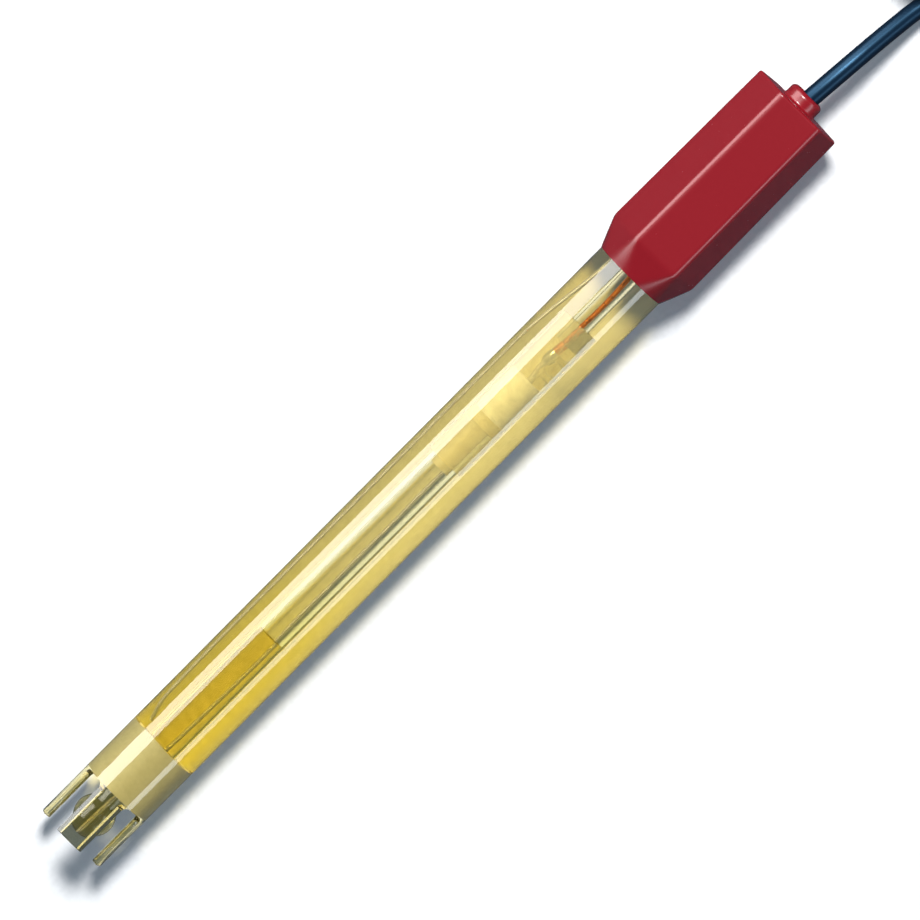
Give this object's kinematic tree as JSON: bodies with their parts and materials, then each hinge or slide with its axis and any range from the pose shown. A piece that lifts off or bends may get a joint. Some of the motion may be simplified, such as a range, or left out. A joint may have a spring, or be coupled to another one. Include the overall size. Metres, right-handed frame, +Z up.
{
  "type": "ph electrode",
  "caption": "Laboratory pH electrode: clear plastic tube with a slotted guard, glass bulb inside, red hexagonal cap, thin lead folded in a hank and ending in a bayonet plug.",
  "frame": {"origin": "middle of the electrode's footprint, on the surface that it lies on", "axes": "+X along the electrode from its guard to its cap and lead, +Z up, with a flat of the cap facing down"},
  "size_m": [0.2832, 0.026, 0.0145],
  "materials": {
    "clear_amber_plastic": "clear moulded tube, tinted amber, polished",
    "clear_glass": "clear blown glass",
    "buffer_solution": "clear yellowish liquid",
    "silver": "drawn silver wire, dark where it is chlorided",
    "pale_rubber": "soft pale rubber",
    "translucent_sleeve": "shrunk translucent sleeve",
    "white_tape": "crumpled white thread tape",
    "clear_potting": "clear cast resin",
    "solder": "bright solder",
    "copper": "drawn copper",
    "clear_insulation": "clear insulating tube",
    "cream_potting": "cream cast resin",
    "porous_ceramic": "unglazed white ceramic",
    "electrolyte_gel": "clear yellowish gel",
    "grey_rubber": "moulded rubber",
    "plated_brass": "nickel plate, turned",
    "red_plastic": "glossy dark red moulded plastic",
    "cable_jacket": "smooth dark blue-black jacket",
    "tie_fabric": "woven strap",
    "black_rubber": "moulded rubber",
    "spring_steel": "bright spring steel",
    "white_insulator": "waxy white insulator",
    "gilt_brass": "gilt contact",
    "silicone": "soft silicone"
  },
  "bodies": {
    "electrode": {"body_tube": "clear_amber_plastic", "glass_half_cell": "clear_glass", "buffer_fill": "buffer_solution", "element_wire": "silver", "stem_stopper": "pale_rubber", "top_sleeve": "translucent_sleeve", "packing_wad": "white_tape", "joint_potting": "clear_potting", "solder_joint": "solder", "core_conductor": "copper", "core_tube": "clear_insulation", "lower_seal": "cream_potting", "junction_rod": "porous_ceramic", "reference_gel": "electrolyte_gel", "reference_wire": "silver", "neck_bung": "grey_rubber", "shield_pigtail": "copper", "lead_anchor": "plated_brass", "cap": "red_plastic", "cable_lead": "cable_jacket", "cable_tail": "cable_jacket", "cable_hank": "cable_jacket", "hank_tie": "tie_fabric", "plug_boot": "black_rubber", "crimp_ferrule": "plated_brass", "plug_body": "plated_brass", "retaining_clip": "spring_steel", "plug_insulator": "white_insulator", "plug_pin": "gilt_brass", "plug_core": "copper", "plug_gasket": "silicone"},
    "washer": {"spring_washer": "spring_steel"},
    "collar": {"bayonet_collar": "plated_brass"}
  },
  "joints": [
    {"name": "collar_slide", "type": "slide", "parent": "electrode", "child": "washer", "axis": [1, 0, 0], "range_m": [0, 0.0008], "stiffness_N_per_m": 2500, "springref_m": -0.0004, "deforming": ["spring_washer"]},
    {"name": "collar_turn", "type": "hinge", "parent": "washer", "child": "collar", "pos_m": [0.195, -0.0008, 0.00725], "axis": [1, 0, 0], "continuous": true}
  ]
}
